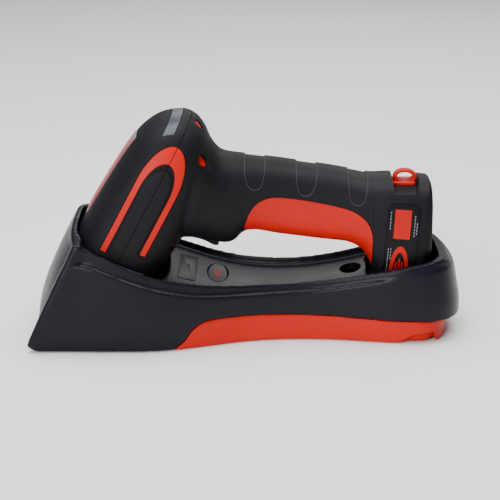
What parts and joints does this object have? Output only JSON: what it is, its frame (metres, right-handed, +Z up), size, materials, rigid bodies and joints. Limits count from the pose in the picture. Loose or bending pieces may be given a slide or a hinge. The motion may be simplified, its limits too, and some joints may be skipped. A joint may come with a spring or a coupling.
{
  "type": "handheld barcode scanner in a charging cradle",
  "caption": "Pistol-grip cordless barcode scanner lying nose down in a long boat-shaped charging cradle, from which it lifts out.",
  "frame": {"origin": "bottom centre of the bounding box: the feet stand on Z = 0 and the plane of symmetry is Y = 0", "axes": "+X along the cradle from the scanner's nose to the end of its handle, +Y across it, +Z up"},
  "size_m": [0.2552, 0.1038, 0.1327],
  "materials": {
    "rubber_black": "matt black moulded rubber skin",
    "shell_black": "finely textured black plastic",
    "housing_red": "satin orange-red plastic",
    "label_black": "semi-gloss black plastic",
    "light_pipe": "milky translucent plastic",
    "window_glass": "polished dark window",
    "lens_glass": "polished clear lens",
    "seal_rubber": "soft black rubber",
    "circuit_board": "green solder mask",
    "module_metal": "plain metal can",
    "screw_steel": "turned steel",
    "contact_gold": "gold-plated contact",
    "cell_wrap": "heat-shrink film",
    "nameplate_silver": "satin silver foil"
  },
  "bodies": {
    "cradle": {"cradle_shell": "shell_black", "cradle_base": "housing_red", "base_plate": "seal_rubber", "foot_1": "seal_rubber", "foot_2": "seal_rubber", "foot_3": "seal_rubber", "foot_4": "seal_rubber", "base_screw_1": "screw_steel", "base_screw_2": "screw_steel", "base_screw_3": "screw_steel", "base_screw_4": "screw_steel", "deck_tablet": "shell_black", "cradle_board": "circuit_board", "contact_block": "label_black", "cable_jack": "label_black"},
    "scanner": {"head_top_shell": "rubber_black", "status_light_band": "light_pipe", "top_nameplate": "nameplate_silver", "arch_inlay_left_upper": "housing_red", "arch_inlay_left_lower": "housing_red", "arch_inlay_right_upper": "housing_red", "arch_inlay_right_lower": "housing_red", "grip_housing": "rubber_black", "red_grip_panel": "housing_red", "case_screw_rear_left": "screw_steel", "case_screw_rear_right": "screw_steel", "case_screw_front_left": "screw_steel", "case_screw_front_right": "screw_steel", "rear_plug_left": "housing_red", "rear_plug_right": "housing_red", "nose_bezel": "rubber_black", "window_gasket": "seal_rubber", "nose_window": "window_glass", "engine_chassis": "module_metal", "sensor_board": "circuit_board", "lens_barrel": "label_black", "illumination_led_left": "lens_glass", "illumination_led_right": "lens_glass", "aimer_lens": "lens_glass", "main_board": "circuit_board", "speaker": "module_metal", "battery_cell": "cell_wrap", "battery_board": "circuit_board", "vibration_motor": "module_metal", "trigger_switch": "label_black", "trigger_pin": "screw_steel", "handle_end_cap": "rubber_black", "lanyard_loop": "housing_red", "label_plate_left": "label_black", "label_plate_right": "label_black", "charge_pads": "contact_gold", "battery_screw": "screw_steel"},
    "trigger_blade": {"trigger": "rubber_black"},
    "button": {"page_button": "shell_black"},
    "pin_1": {"charge_pin_1": "contact_gold"},
    "pin_2": {"charge_pin_2": "contact_gold"},
    "pin_3": {"charge_pin_3": "contact_gold"},
    "pin_4": {"charge_pin_4": "contact_gold"}
  },
  "joints": [
    {"name": "scanner_lift", "type": "slide", "parent": "cradle", "child": "scanner", "axis": [0.4695, 0, 0.8829], "range_m": [0, 0.14]},
    {"name": "trigger_pull", "type": "hinge", "parent": "scanner", "child": "trigger_blade", "pos_m": [-0.0302, 0, 0.0592], "axis": [0, -1, 0], "range_deg": [0, 7], "stiffness_Nm_per_rad": 0.2, "springref_deg": -5.73},
    {"name": "page_press", "type": "slide", "parent": "cradle", "child": "button", "axis": [-0.16, 0, -0.9871], "range_m": [0, 0.001], "stiffness_N_per_m": 800, "springref_m": -0.0006},
    {"name": "pin_press_1", "type": "slide", "parent": "cradle", "child": "pin_1", "axis": [0, 0, -1], "range_m": [0, 0.001], "stiffness_N_per_m": 400, "springref_m": -0.0005},
    {"name": "pin_press_2", "type": "slide", "parent": "cradle", "child": "pin_2", "axis": [0, 0, -1], "range_m": [0, 0.001], "stiffness_N_per_m": 400, "springref_m": -0.0005},
    {"name": "pin_press_3", "type": "slide", "parent": "cradle", "child": "pin_3", "axis": [0, 0, -1], "range_m": [0, 0.001], "stiffness_N_per_m": 400, "springref_m": -0.0005},
    {"name": "pin_press_4", "type": "slide", "parent": "cradle", "child": "pin_4", "axis": [0, 0, -1], "range_m": [0, 0.001], "stiffness_N_per_m": 400, "springref_m": -0.0005}
  ]
}
